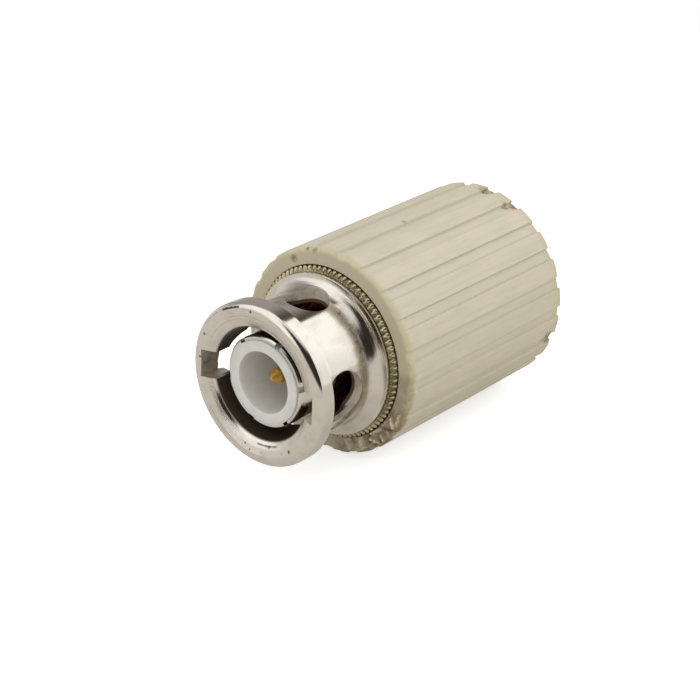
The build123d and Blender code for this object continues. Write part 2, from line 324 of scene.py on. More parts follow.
# What stands round the part: azimuths from +X towards +Y, elevations, softness, all in degrees, and level
STUDIO_PANELS = (
    (-200, 200, 58, 120, 12, 0.9),
    (-210, -152, 12, 62, 10, 0.36),
    (150, 210, 12, 62, 10, 0.4),
    (-150, -98, 8, 80, 8, 1.15),
    (-120, -99, -15, 14, 4, 1.2),
    (97, 165, -12, 100, 4, 0.36),
    (85, 116, 6, 100, 12, 0.09),
    (36, 97, -6, 70, 2, 1.25),
    (24, 44, -6, 70, 6, 0.75),
    (-98, 30, -4, 46, 7, 0.035),
)

# Settings of shader nodes
ADD = {"operation": "ADD"}
MULTIPLY = {"operation": "MULTIPLY"}
MULTIPLY_ADD = {"operation": "MULTIPLY_ADD"}
MAXIMUM = {"operation": "MAXIMUM"}
SCALE = {"operation": "SCALE"}
SMOOTH = {"interpolation_type": "SMOOTHSTEP"}
COLOUR = {"data_type": "RGBA"}
FLOAT = {"data_type": "FLOAT"}


def around(radius, depth, angle):
    """A point in metres at a radius, a depth behind the mouth and an angle in radians."""
    return Vector((radius * cos(angle), depth, radius * sin(angle))) * MM


def arc(centre, size, start, end, steps):
    """Points (radius, depth) on an ellipse's arc, from one angle to another in degrees."""
    points = []
    for step in range(steps + 1):
        turn = radians(start + (end - start) * step / steps)
        points.append((centre[0] + size[0] * cos(turn), centre[1] + size[1] * sin(turn)))
    return points


def line(start, end, steps):
    """Points from start to end, without the end itself."""
    return [
        (start[0] + (end[0] - start[0]) * step / steps, start[1] + (end[1] - start[1]) * step / steps)
        for step in range(steps)
    ]


def mesh_object(name, points, faces, sharp_angle=32):
    """An object in the scene from lying points in metres; edges over an angle in degrees stay sharp."""
    mesh = bpy.data.meshes.new(name)
    mesh.from_pydata([UPRIGHT @ Vector(point) for point in points], [], faces)
    builder = bmesh.new()
    builder.from_mesh(mesh)
    bmesh.ops.recalc_face_normals(builder, faces=builder.faces)
    builder.to_mesh(mesh)
    builder.free()
    mesh.shade_smooth()
    mesh.set_sharp_from_angle(angle=radians(sharp_angle))
    piece = bpy.data.objects.new(name, mesh)
    bpy.context.scene.collection.objects.link(piece)
    return piece


def ring_faces(columns, rows, closed_profile):
    """Quads of a grid that closes round the axis; each column is one profile of rows points."""
    faces = []
    last = rows if closed_profile else rows - 1
    for column in range(columns):
        here = column * rows
        there = (column + 1) % columns * rows
        for row in range(last):
            following = (row + 1) % rows
            faces.append((here + row, here + following, there + following, there + row))
    return faces


def ring_face():
    """The front of the ring, from the mouth to the outside: two cones, a crest and a rounded nose."""
    slope = LEAD_DEPTH / (CREST_RADIUS - LEAD_RADIUS)
    cone_end = (CREST_RADIUS - CREST_ROUND, slope * CREST_ROUND)
    crest = []
    for step in range(6):
        part = step / 5
        crest.append((cone_end[0] + 2 * CREST_ROUND * part, cone_end[1] * (1 - part) ** 2))
    return (
        line((MOUTH_RADIUS, MOUTH_DEPTH), (LEAD_RADIUS, LEAD_DEPTH), 4)
        + line((LEAD_RADIUS, LEAD_DEPTH), cone_end, 8) + crest
        + arc((RING_RADIUS - NOSE_WIDTH, NOSE_LENGTH), (NOSE_WIDTH, NOSE_LENGTH), -89, 0, 18)
    )


def nut_profile():
    """The section of the turned nut as (radius, depth) points, from the mouth round and back to it."""
    fillet_radius = BARREL_RADIUS + RING_FILLET
    fillet_end = RING_LENGTH + RING_FILLET
    flare_top = BARREL_RADIUS + FLARE_ARC
    band = KNURL_RADIUS - KNURL_DEPTH - KNURL_CHAMFER - NUT_SUNK
    return (
        line((BORE_RADIUS, MOUTH_DEPTH + MOUTH_CHAMFER), (MOUTH_RADIUS, MOUTH_DEPTH), 3)
        + ring_face()
        + line((RING_RADIUS, NOSE_LENGTH + 0.1), (RING_RADIUS, RING_LENGTH - EDGE_BREAK), 4)
        + line((RING_RADIUS, RING_LENGTH - EDGE_BREAK), (RING_RADIUS - EDGE_BREAK, RING_LENGTH), 1)
        + line((RING_RADIUS - EDGE_BREAK, RING_LENGTH), (fillet_radius, RING_LENGTH), 1)
        + arc((fillet_radius, fillet_end), (RING_FILLET, RING_FILLET), -90, -180, 12)
        + line((BARREL_RADIUS, fillet_end + 0.3), (BARREL_RADIUS, FLARE_START), 12)
        + arc((flare_top, FLARE_START), (FLARE_ARC, FLARE_ARC), 180, 90, 20)
        + line((LIP_RADIUS, FLARE_START + FLARE_ARC + 0.03), (LIP_RADIUS, LIP_BACK - LIP_BREAK), 1)
        + [(LIP_RADIUS, LIP_BACK - LIP_BREAK), (LIP_RADIUS - LIP_BREAK, LIP_BACK)]
        + [(UNDERCUT_RADIUS, LIP_BACK), (UNDERCUT_RADIUS, KNURL_FRONT)]
        + [(band, KNURL_FRONT), (band, NUT_LENGTH), (CHAMBER_RADIUS, NUT_LENGTH)]
        + [(CHAMBER_RADIUS, SHOULDER_DEPTH), (BORE_RADIUS, SHOULDER_DEPTH)]
        + line((BORE_RADIUS, SHOULDER_DEPTH - 0.5), (BORE_RADIUS, MOUTH_DEPTH + MOUTH_CHAMFER), 24)
    )


def revolved(name, profile, segments):
    """A closed profile of (radius, depth) points, turned round the axis."""
    points = []
    for step in range(segments):
        turn = 2 * pi * (step + 0.5) / segments
        points += [around(radius, depth, turn) for radius, depth in profile]
    return mesh_object(name, points, ring_faces(segments, len(profile), True))


def prism(name, outline, near, far, angle):
    """A cutter along the radius: an outline of (depth, sideways) points, between two radii."""
    turn = radians(angle)
    out = Vector((cos(turn), 0, sin(turn)))
    side = Vector((-sin(turn), 0, cos(turn)))
    points = []
    for radius in (near, far):
        points += [(out * radius + Vector((0, depth, 0)) + side * aside) * MM for depth, aside in outline]
    count = len(outline)
    faces = [tuple(range(count)), tuple(range(2 * count - 1, count - 1, -1))]
    faces += [(i, (i + 1) % count, count + (i + 1) % count, count + i) for i in range(count)]
    return mesh_object(name, points, faces)


def circle(radius, depth, steps=96):
    """A round outline of (depth, sideways) points."""
    return [
        (depth + radius * cos(2 * pi * step / steps), radius * sin(2 * pi * step / steps))
        for step in range(steps)
    ]


def rectangle(front, back, low, high):
    """A rectangular outline of (depth, sideways) points."""
    return [(front, low), (back, low), (back, high), (front, high)]


def cam_cutter(name, angle, steps=48):
    """The helical groove in the bore: a square section swept a quarter turn."""
    points = []
    half = CAM_WIDTH / 2
    section = ((CUTTER_INNER, -half), (CAM_FLOOR, -half), (CAM_FLOOR, half), (CUTTER_INNER, half))
    for step in range(steps + 1):
        turn = radians(angle - CAM_TURN * step / steps)
        depth = WINDOW_DEPTH + CAM_RISE * step / steps
        points += [around(radius, depth + offset, turn) for radius, offset in section]
    faces = [(0, 1, 2, 3), tuple(4 * steps + i for i in (3, 2, 1, 0))]
    for step in range(steps):
        for corner in range(4):
            following = (corner + 1) % 4
            here = 4 * step
            faces.append((here + corner, here + following, here + 4 + following, here + 4 + corner))
    return mesh_object(name, points, faces)


def nut_cutters():
    """The cutters for both slots with their windows, pockets, cam grooves and locking holes."""
    slot = rectangle(-1, WINDOW_DEPTH, -SLOT_WIDTH / 2, SLOT_WIDTH / 2)
    opening = circle(WINDOW_RADIUS, WINDOW_DEPTH)
    pocket = rectangle(WINDOW_DEPTH, POCKET_BACK, 0, POCKET_HALF_WIDTH)
    lock = circle(LOCK_RADIUS, WINDOW_DEPTH + CAM_RISE)
    cutters = []
    for angle in (SLOT_ANGLE, SLOT_ANGLE + 180):
        cutters += [
            prism("slot_cutter", slot, CUTTER_INNER, SLOT_FLOOR, angle),
            prism("window_cutter", opening, CUTTER_INNER, SLOT_FLOOR, angle - WINDOW_TURN),
            prism("pocket_cutter", pocket, CUTTER_INNER, SLOT_FLOOR, angle),
            cam_cutter("cam_cutter", angle),
            prism("lock_cutter", lock, CUTTER_INNER, KNURL_RADIUS, angle - CAM_TURN),
        ]
    return cutters


def baked(piece):
    """Turns the piece's modifiers into plain mesh."""
    graph = bpy.context.evaluated_depsgraph_get()
    mesh = bpy.data.meshes.new_from_object(piece.evaluated_get(graph))
    piece.modifiers.clear()
    old = piece.data
    piece.data = mesh
    bpy.data.meshes.remove(old)


def cut(piece, cutters):
    """Takes the cutters out of a piece; the new walls keep the cutters' material."""
    for cutter in cutters:
        step = piece.modifiers.new("cut", "BOOLEAN")
        step.operation = "DIFFERENCE"
        step.solver = "EXACT"
        step.material_mode = "TRANSFER"
        step.object = cutter
        baked(piece)
        mesh = cutter.data
        bpy.data.objects.remove(cutter)
        bpy.data.meshes.remove(mesh)


def coupling_nut(material, cut_material):
    """The turned nut, with its openings cut and its edges broken."""
    nut = revolved("turned_nut", nut_profile(), NUT_SEGMENTS)
    nut.data.materials.append(material)
    cutters = nut_cutters()
    for cutter in cutters:
        cutter.data.materials.append(cut_material)
    cut(nut, cutters)
    soften = nut.modifiers.new("broken_edges", "BEVEL")
    soften.width = EDGE_SOFTNESS * MM
    soften.segments = 2
    soften.limit_method = "ANGLE"
    soften.angle_limit = radians(BROKEN_ANGLE)
    soften.use_clamp_overlap = True
    soften.harden_normals = False
    nut.data.shade_smooth()
    nut.data.set_sharp_from_angle(angle=radians(SHARP_ANGLE))
    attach(nut, "shell")
    return nut


def wedge(position):
    """Climbs evenly from 0 to 1 and falls back, once for each whole number."""
    part = position - floor(position)
    return 1 - abs(2 * part - 1)


def knurl_height(angle, depth):
    """Diamond knurl: 0 in a groove, 1 on a diamond's flat top."""
    pitch = 2 * pi * KNURL_RADIUS / KNURL_COUNT
    around_count = angle * KNURL_COUNT / (2 * pi)
    climb = depth * tan(radians(KNURL_TILT)) / pitch
    return min(1, KNURL_SLOPE * min(wedge(around_count + climb), wedge(around_count - climb)))


def knurl_band(material):
    """The knurl as a ring round the nut, with its diamonds as real shapes and a chamfer in front."""
    columns = KNURL_COUNT * KNURL_COLUMNS
    stations = [KNURL_FRONT + KNURL_ROW_STEP * step for step in range(KNURL_ROWS)] + [KNURL_BACK]
    low = KNURL_RADIUS - KNURL_DEPTH - KNURL_CHAMFER - BAND_SUNK
    points = []
    rows = len(stations) + 2
    for column in range(columns):
        turn = 2 * pi * column / columns
        points.append(around(low, KNURL_FRONT, turn))
        for depth in stations:
            top = min(KNURL_RADIUS, KNURL_RADIUS - KNURL_CHAMFER + depth - KNURL_FRONT)
            points.append(around(top - KNURL_DEPTH * (1 - knurl_height(turn, depth)), depth, turn))
        points.append(around(low, KNURL_BACK, turn))
    band = mesh_object("knurled_band", points, ring_faces(columns, rows, True), 60)
    band.data.materials.append(material)
    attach(band, "shell")
    return band


def groove_shape(offset):
    """How deep the cover's groove is at a distance in millimetres from its middle."""
    edge = (GROOVE_WIDTH / 2 - abs(offset)) / GROOVE_EDGE
    part = min(1, max(0, edge + 0.5))
    return GROOVE_DEPTH * part * part * (3 - 2 * part)


def rib_offsets(fine):
    """Distances from a groove's middle at which the cover has its columns, close at the edges."""
    half_pitch = pi * COVER_RADIUS / RIB_COUNT
    edge = GROOVE_WIDTH / 2
    side = [*GROOVE_COLUMNS] + [edge + distance for distance in EDGE_COLUMNS]
    offsets = [-d for d in reversed(side)] + [0] + side + [half_pitch]
    if not fine:
        return offsets
    between = [(here + there) / 2 for here, there in zip(offsets, offsets[1:])]
    return sorted(offsets + between)


def cover_column(offset, turn):
    """One profile of the cover, at a distance from a groove's middle, with its front edge worn round."""
    wander = Vector((4 * cos(turn), 4 * sin(turn), 0))
    worn = FRONT_WEAR[0] + FRONT_WEAR[1] * (bumps(wander) + 0.6 * bumps(wander * 2.7))
    outer = COVER_RADIUS - groove_shape(offset)
    end = COVER_RADIUS - groove_shape(offset) * GROOVE_END_DEPTH
    run_out = COVER_FRONT + worn + GROOVE_RUN_OUT
    back = COVER_BACK - BACK_ROUND
    profile = [(INNER_ROW, COVER_FLOOR), (COVER_STEP_RADIUS, COVER_FLOOR), (COVER_STEP_RADIUS, COVER_STEP)]
    profile += line((COVER_BORE, COVER_STEP), (COVER_BORE, COVER_FRONT + 0.06), 4)
    profile += [(COVER_BORE, COVER_FRONT + 0.06), (COVER_BORE + 0.05, COVER_FRONT)]
    profile += line((COVER_BORE + 0.1, COVER_FRONT), (end - worn, COVER_FRONT), 22)
    profile += arc((end - worn, COVER_FRONT + worn), (worn, worn), -90, 0, 8)
    profile += line((end, COVER_FRONT + worn + 0.06), (outer, run_out), 5)
    profile += line((outer, run_out), (outer, CLOSE_ROWS), 22)
    profile += line((outer, CLOSE_ROWS), (outer, back), 16)
    profile += arc((outer - BACK_ROUND, back), (BACK_ROUND, BACK_ROUND), 0, 90, 12)
    profile += line((outer - BACK_ROUND - 0.2, COVER_BACK), (INNER_ROW, COVER_BACK), 8)
    return profile + [(INNER_ROW, COVER_BACK)]


def nearness(radius, angle, ridge):
    """1 on the line that a ridge follows over the front face, 0 at its half width."""
    turn = radians(angle)
    here = Vector((radius * cos(turn), radius * sin(turn)))
    ends = [Vector((r * cos(radians(a)), r * sin(radians(a)))) for r, a in (ridge[0:2], ridge[2:4])]
    run = ends[1] - ends[0]
    part = min(1, max(0, (here - ends[0]).dot(run) / run.length_squared))
    return max(0, 1 - (here - ends[0] - run * part).length / ridge[4])


def worn_place(radius, depth, turn):
    """Where a point of the cover lies after its dents, and its torn flash at the front."""
    if radius < COVER_BORE + 0.08:
        return radius, depth
    angle = (degrees(turn) + 180) % 360 - 180
    place = Vector((radius * cos(turn), depth, radius * sin(turn)))
    ragged = RAGGED[0] * bumps(place * RAGGED[1])
    for at_depth, at_angle, length, width, sink in DENTS:
        if abs(depth - at_depth) < 2 * length and abs(angle - at_angle) < 12:
            aside = radians(angle - at_angle) * radius
            reach = ((depth - at_depth) / length) ** 2 + (aside / width) ** 2 + ragged
            radius -= sink * max(0, 1 - reach)
    if depth < COVER_FRONT + 0.3 and TORN_ANGLES[0] < angle < TORN_ANGLES[1]:
        swerve = SWERVE * bumps(place * SWERVE_BUMPS)
        near = radius + swerve
        turned = angle + SWERVE_TURN * swerve / radius
        rise = [ridge[5] * min(1, FLASH_SLOPE * nearness(near, turned, ridge)) for ridge in FLASH]
        sink = [gouge[5] * nearness(near, turned, gouge) for gouge in GOUGES]
        uneven = FLASH_HEIGHT[0] + FLASH_HEIGHT[1] * bumps(place * FLASH_BUMPS)
        depth -= max(rise) * uneven - max(sink)
    return radius, depth


def insulating_cover(material):
    """The cover, from profiles side by side round the axis and a disc on each side of its back wall."""
    points = []
    columns = 0
    for rib in range(RIB_COUNT):
        middle = 2 * pi * rib / RIB_COUNT - pi / 2
        for offset in rib_offsets(FINE_ANGLES[0] < degrees(middle) < FINE_ANGLES[1]):
            turn = middle + offset / COVER_RADIUS
            profile = cover_column(offset, turn)
            points += [around(*worn_place(radius, depth, turn), turn) for radius, depth in profile]
            columns += 1
    rows = len(profile)
    floor_disc = range(0, columns * rows, rows)
    back_disc = range(columns * rows - 1, 0, -rows)
    faces = ring_faces(columns, rows, False) + [tuple(floor_disc), tuple(back_disc)]
    cover = mesh_object("moulded_cover", points, faces, 40)
    cover.data.materials.append(material)
    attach(cover, "shell")
    return cover


def spring_washer(material):
    """Three waves in a flat ring of sheet, as in the real washer, which flattens when the plug body is
    pushed back.
    """
    middle = (WAVE_FRONT + WAVE_BACK) / 2
    swing = (WAVE_BACK - WAVE_FRONT - WAVE_SHEET) / 2
    inner, outer = WAVE_RADII
    points = []
    for step in range(WAVE_STEPS):
        turn = 2 * pi * step / WAVE_STEPS
        height = middle + swing * sin(WAVE_COUNT * turn)
        front, back = height - WAVE_SHEET / 2, height + WAVE_SHEET / 2
        section = ((inner, front), (outer, front), (outer, back), (inner, back))
        points += [around(radius, depth, turn) for radius, depth in section]
    washer = mesh_object("waved_washer", points, ring_faces(WAVE_STEPS, len(section), True))
    washer.data.materials.append(material)
    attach(washer, "shell")
    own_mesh(washer)
    return washer


def linear(hex_colour):
    """A linear RGBA colour from an sRGB hex value."""
    channels = [int(hex_colour[i:i + 2], 16) / 255 for i in (1, 3, 5)]
    return [c / 12.92 if c <= 0.04045 else ((c + 0.055) / 1.055) ** 2.4 for c in channels] + [1.0]


def fill(tree, socket, value):
    """Links an output to an input, or sets the input to a value or a hex colour."""
    if isinstance(value, bpy.types.NodeSocket):
        tree.links.new(value, socket)
    elif isinstance(value, str):
        socket.default_value = linear(value)
    else:
        socket.default_value = value


def add_node(tree, kind, settings, *inputs, output=None, **named):
    """Adds a node with its settings, fills the inputs that it uses, in order or by name, and gives the
    output that is asked for, or else the first in use."""
    node = tree.nodes.new("ShaderNode" + kind)
    for name, value in settings.items():
        setattr(node, name, value)
    in_use = [socket for socket in node.inputs if socket.enabled]
    for socket, value in zip(in_use, inputs):
        fill(tree, socket, value)
    for name, value in named.items():
        fill(tree, node.inputs[name], value)
    if output:
        return node.outputs[output]
    return next(socket for socket in node.outputs if socket.enabled)


def grains(size):
    """The scale of a noise whose grains are about a size in millimetres."""
    return 1 / (size * MM)


def new_material(name):
    """A node material, its tree, and the place of each point in metres."""
    material = bpy.data.materials.new(name)
    material.use_nodes = True
    tree = material.node_tree
    return material, tree, add_node(tree, "TexCoord", {}, output="Object")


def drive(material, **sockets):
    """Fills the shader's own inputs by name."""
    tree = material.node_tree
    inputs = tree.nodes["Principled BSDF"].inputs
    for name, value in sockets.items():
        fill(tree, inputs[name.replace("_", " ")], value)


def round_axis(tree, place):
    """Radius and depth in millimetres and the angle in degrees of a point round the plug's axis."""
    x, y, z = add_node(tree, "SeparateXYZ", {}, place).node.outputs
    flat = add_node(tree, "CombineXYZ", {}, x, y, 0.0)
    length = add_node(tree, "VectorMath", {"operation": "LENGTH"}, flat)
    radius = add_node(tree, "Math", MULTIPLY, length, 1 / MM)
    depth = add_node(tree, "Math", MULTIPLY, z, -1 / MM)
    turn = add_node(tree, "Math", {"operation": "ARCTAN2"}, y, x)
    return radius, depth, add_node(tree, "Math", MULTIPLY, turn, 180 / pi)


def turning_marks(tree, radius, depth, place, size):
    """Noise drawn out into rings round the axis, as a lathe leaves them."""
    rings = add_node(tree, "CombineXYZ", {}, radius, depth, 0.0)
    scaled = add_node(tree, "VectorMath", SCALE, rings, MM)
    drift = add_node(tree, "VectorMath", SCALE, place, MARK_DRIFT)
    vector = add_node(tree, "VectorMath", ADD, scaled, drift)
    return add_node(tree, "TexNoise", {}, vector, grains(size), 4.0, 0.6)


def patches(tree, place, spots):
    """1 at each spot on the part, fading to 0 at its size, all in millimetres and degrees."""
    total = 0.0
    for radius, depth, angle, size in spots:
        centre = UPRIGHT @ around(radius, depth, radians(angle))
        away = add_node(tree, "VectorMath", {"operation": "DISTANCE"}, place, centre)
        near = add_node(tree, "MapRange", SMOOTH, away, size * MM / 4, size * MM, 1.0, 0.0)
        total = add_node(tree, "Math", MAXIMUM, near, total)
    return total


def window(tree, first, second, left, right, low, high, soft):
    """1 where two values lie inside their limits, with soft edges."""
    inside = []
    for value, start, stop in ((first, left, right), (second, low, high)):
        rise = add_node(tree, "MapRange", SMOOTH, value, start - soft, start + soft, 0.0, 1.0)
        fall = add_node(tree, "MapRange", SMOOTH, value, stop - soft, stop + soft, 1.0, 0.0)
        inside.append(add_node(tree, "Math", MULTIPLY, rise, fall))
    return add_node(tree, "Math", MULTIPLY, *inside)


def bore_stain(tree, depth):
    """Brown near the mouth, and a redder, lighter brown deeper in."""
    deep = add_node(tree, "MapRange", SMOOTH, depth, 3.0, 5.0, 0.0, 1.0)
    return add_node(tree, "Mix", COLOUR, deep, BORE_STAIN, BORE_BROWN_DEEP)


def nickel_dirt_and_reflection(tree, place, radius, depth, angle, grain):
    """Brown grime in spots, bands and scratches, at the flare's foot with a painted dark reflection, and
    fine specks over parts of the plate.
    """
    spots = patches(tree, place, GRIME_SPOTS)
    torn = add_node(tree, "Math", MULTIPLY_ADD, grain, 2.6, -1.3)
    ragged = add_node(tree, "Math", ADD, spots, torn)
    grime_and_reflection = add_node(tree, "MapRange", SMOOTH, ragged, 0.35, 0.8, 0.0, 1.0)
    near_spot = add_node(tree, "MapRange", SMOOTH, spots, 0.0, 0.2, 0.0, 1.0)
    grime_and_reflection = add_node(tree, "Math", MULTIPLY, grime_and_reflection, near_spot)
    coarse = add_node(tree, "TexNoise", {}, place, grains(0.3), 5.0, 0.7)
    smear = add_node(tree, "Math", MULTIPLY_ADD, coarse, 2.6, -0.6)
    on_ring = add_node(tree, "MapRange", SMOOTH, depth, 0.5, 0.6, 1.0, 0.0)
    scratched = add_node(tree, "Math", MULTIPLY, smear, on_ring)
    tens = add_node(tree, "Math", MULTIPLY, angle, 0.1)
    for along, strips, uneven in ((depth, GRIME_AND_REFLECTION_BANDS, smear), (radius, SCRATCHES, scratched)):
        for start, stop, low, high, soft, strength in strips:
            strip = window(tree, along, tens, start, stop, low / 10, high / 10, soft)
            strong = add_node(tree, "Math", MULTIPLY, uneven, strength)
            strip = add_node(tree, "Math", MULTIPLY, strip, strong)
            grime_and_reflection = add_node(tree, "Math", MAXIMUM, grime_and_reflection, strip)
    sprinkled = add_node(tree, "TexNoise", {}, place, grains(0.13), 2.0, 0.5)
    sprinkled = add_node(tree, "MapRange", SMOOTH, sprinkled, 0.7, 0.75, 0.0, 0.7)
    dusty = add_node(tree, "TexNoise", {}, place, grains(2.2), 3.0, 0.55)
    dusty = add_node(tree, "MapRange", SMOOTH, dusty, 0.5, 0.64, 0.0, 1.0)
    specks = add_node(tree, "Math", MULTIPLY, sprinkled, dusty)
    return add_node(tree, "Math", MAXIMUM, grime_and_reflection, specks)


def nickel_plate():
    """Bright nickel on turned brass: a warm mirror, drawn out by turning marks, with brown grime where
    fingers don't reach: at the foot of the flare, where it is partly a painted dark reflection, round the
    holes and in specks on the ring. The bore is stained brown and hardly shines."""
    material, tree, place = new_material("nickel_plate_turned")
    radius, depth, angle = round_axis(tree, place)
    marks = turning_marks(tree, radius, depth, place, 0.16)
    fine = turning_marks(tree, radius, depth, place, 0.05)
    grain = add_node(tree, "TexNoise", {}, place, grains(0.1), 4.0, 0.7)
    # Grime, and at the foot of the flare a painted dark reflection
    dirt = nickel_dirt_and_reflection(tree, place, radius, depth, angle, grain)

    cloud = add_node(tree, "TexNoise", {}, place, grains(1.6), 3.0, 0.55)
    tarnish = add_node(tree, "MapRange", SMOOTH, cloud, 0.45, 0.75, 0.0, 0.35)
    metal = add_node(tree, "Mix", COLOUR, tarnish, NICKEL_BRIGHT, NICKEL_DULL)
    dirty = add_node(tree, "Math", MULTIPLY, dirt, 0.85)
    metal = add_node(tree, "Mix", COLOUR, dirty, metal, NICKEL_GRIME_AND_REFLECTION)
    in_bore = window(tree, radius, depth, BORE_RADIUS - 0.25, BORE_RADIUS + 0.1, 0.45, 30, 0.1)
    metal = add_node(tree, "Mix", COLOUR, in_bore, metal, bore_stain(tree, depth))

    rough = add_node(tree, "Math", MULTIPLY_ADD, marks, 0.12, 0.05)
    rough = add_node(tree, "Math", MULTIPLY_ADD, dirt, 0.3, rough)
    rough = add_node(tree, "Math", MULTIPLY_ADD, in_bore, 0.35, rough)

    on_cone = window(tree, radius, depth, MOUTH_RADIUS, CREST_RADIUS + 0.1, -1, 1, 0.08)
    pitted = add_node(tree, "Math", MULTIPLY, grain, on_cone)
    height = add_node(tree, "Math", MULTIPLY_ADD, fine, 0.35, marks)
    height = add_node(tree, "Math", MULTIPLY_ADD, pitted, 2.5, height)
    on_flare = add_node(tree, "MapRange", SMOOTH, depth, 6.8, 7.3, 1.0, 5.0)
    height = add_node(tree, "Math", MULTIPLY, height, on_flare)
    on_nose = add_node(tree, "MapRange", SMOOTH, depth, 0.2, 0.6, 2.0, 1.0)
    height = add_node(tree, "Math", MULTIPLY, height, on_nose)
    drive(
        material, Base_Color=metal, Roughness=rough,
        Metallic=add_node(tree, "Math", MULTIPLY_ADD, in_bore, -0.8, 1.0),
        Normal=add_node(tree, "Bump", {}, Distance=0.004 * MM, Height=height),
    )
    return material


def cut_nickel():
    """Plate over the cutter's walls in the nut: satin, with a little brown where dirt stays. Deep in the
    holes, near the bore, the walls are coloured dark brown."""
    material, tree, place = new_material("nickel_plate_milled")
    radius, depth = round_axis(tree, place)[:2]
    dirt = add_node(tree, "TexNoise", {}, place, grains(0.45), 4.0, 0.55)
    dirt = add_node(tree, "MapRange", SMOOTH, dirt, 0.4, 0.75, 0.05, 0.6)
    metal = add_node(tree, "Mix", COLOUR, dirt, CUT_BRIGHT, CUT_DULL)
    # Deep in the holes, near the bore, the walls turn dark brown
    inside = add_node(tree, "MapRange", SMOOTH, radius, DARK_WALL_RADIUS + 0.05, DARK_WALL_RADIUS - 0.05, 0.0, 1.0)
    deep = add_node(tree, "MapRange", SMOOTH, depth, 1.2, 2.0, 0.35, 1.0)
    darkened = add_node(tree, "Math", MULTIPLY, inside, deep)
    metal = add_node(tree, "Mix", COLOUR, darkened, metal, bore_stain(tree, depth))
    in_slot = add_node(tree, "MapRange", SMOOTH, depth, 1.9, 2.6, 0.85, 0.4)
    clean = add_node(tree, "MapRange", SMOOTH, darkened, 0.0, 1.0, 1.0, 0.3)
    fine = add_node(tree, "TexNoise", {}, place, grains(0.12), 3.0, 0.55)
    drive(
        material, Base_Color=metal, Roughness=0.4,
        Metallic=add_node(tree, "Math", MULTIPLY, in_slot, clean),
        Normal=add_node(tree, "Bump", {}, Distance=0.006 * MM, Height=fine),
    )
    return material


def knurl_nickel():
    """The same plate on the knurl, with oily brown dirt between the diamonds."""
    material, tree, place = new_material("nickel_plate_knurled")
    radius, depth = round_axis(tree, place)[:2]
    past = add_node(tree, "Math", ADD, depth, -KNURL_FRONT - KNURL_CHAMFER)
    ramp = add_node(tree, "Math", {"operation": "MINIMUM"}, past, 0.0)
    below = add_node(tree, "Math", MULTIPLY_ADD, ramp, -1.0, radius)
    low = add_node(
        tree, "MapRange", SMOOTH, below, KNURL_RADIUS - KNURL_DEPTH, KNURL_RADIUS - 0.05, 1.0, 0.0
    )
    patchy = add_node(tree, "TexNoise", {}, place, grains(0.9), 3.0, 0.55)
    patchy = add_node(tree, "MapRange", SMOOTH, patchy, 0.35, 0.65, 0.35, 1.0)
    dirt = add_node(tree, "Math", MULTIPLY, low, patchy)
    dirty = add_node(tree, "Math", MULTIPLY_ADD, dirt, 0.9, 0.06)
    fine = add_node(tree, "TexNoise", {}, place, grains(0.15), 3.0, 0.55)
    drive(
        material, Base_Color=add_node(tree, "Mix", COLOUR, dirty, KNURL_BRIGHT, KNURL_GRIME),
        Roughness=add_node(tree, "Math", MULTIPLY_ADD, dirt, 0.3, 0.28),
        Metallic=add_node(tree, "Math", MULTIPLY_ADD, dirt, -0.5, 1.0),
        Normal=add_node(tree, "Bump", {}, Distance=0.02 * MM, Height=fine),
    )
    return material


def plain_material(name, colour, second_colour, roughness, metallic=0.0, grain=0.4, depth=0.003):
    """A material with faint clouds of a second colour and a fine grain in its gloss and surface."""
    material, tree, place = new_material(name)
    cloud = add_node(tree, "TexNoise", {}, place, grains(grain * 3), 3.0, 0.55)
    cloud = add_node(tree, "MapRange", SMOOTH, cloud, 0.35, 0.65, 0.0, 1.0)
    fine = add_node(tree, "TexNoise", {}, place, grains(grain * 0.3), 4.0, 0.6)
    drive(
        material, Metallic=metallic,
        Base_Color=add_node(tree, "Mix", COLOUR, cloud, colour, second_colour),
        Roughness=add_node(tree, "Math", MULTIPLY_ADD, fine, roughness * 0.5, roughness * 0.75),
        Normal=add_node(tree, "Bump", {}, Distance=depth * MM, Height=fine),
    )
    return material


def turned_ptfe():
    """Turned white insulator: waxy, light runs some way through it, so its edges look soft."""
    material = plain_material("turned_ptfe", "#DEDDD8", "#D8D8D2", 0.35)
    drive(
        material, Subsurface_Weight=0.7, Subsurface_Radius=(1.0, 0.95, 0.85),
        Subsurface_Scale=1.1 * MM,
    )
    return material


def torn_flash(tree, place, depth, tens, colour):
    """Painted shade in brown low in the torn flash, between its flakes, and a pale painted highlight on
    the flakes' tops.
    """
    torn = window(tree, tens, depth, -8.4, -2.2, 8.0, COVER_FRONT + 0.5, 0.35)
    crumbs = add_node(tree, "TexNoise", {}, place, grains(0.7), 4.0, 0.65)
    crumbs = add_node(tree, "MapRange", SMOOTH, crumbs, 0.35, 0.65, 0.3 * 0.85, 0.85)
    # Painted shade: brown in the low places of the flash
    below = add_node(tree, "MapRange", SMOOTH, depth, COVER_FRONT - 0.12, COVER_FRONT + 0.06, 0.15, 1.0)
    low = add_node(tree, "Math", MULTIPLY, torn, below)
    low = add_node(tree, "Math", MULTIPLY, low, crumbs)
    colour = add_node(tree, "Mix", COLOUR, low, colour, FLASH_PAINTED_SHADE)
    # Painted highlight: pale on the flash's raised tops
    above = add_node(tree, "MapRange", SMOOTH, depth, COVER_FRONT - 0.22, COVER_FRONT - 0.1, 0.8, 0.0)
    high = add_node(tree, "Math", MULTIPLY, torn, above)
    return add_node(tree, "Mix", COLOUR, high, colour, FLASH_PAINTED_HIGHLIGHT)


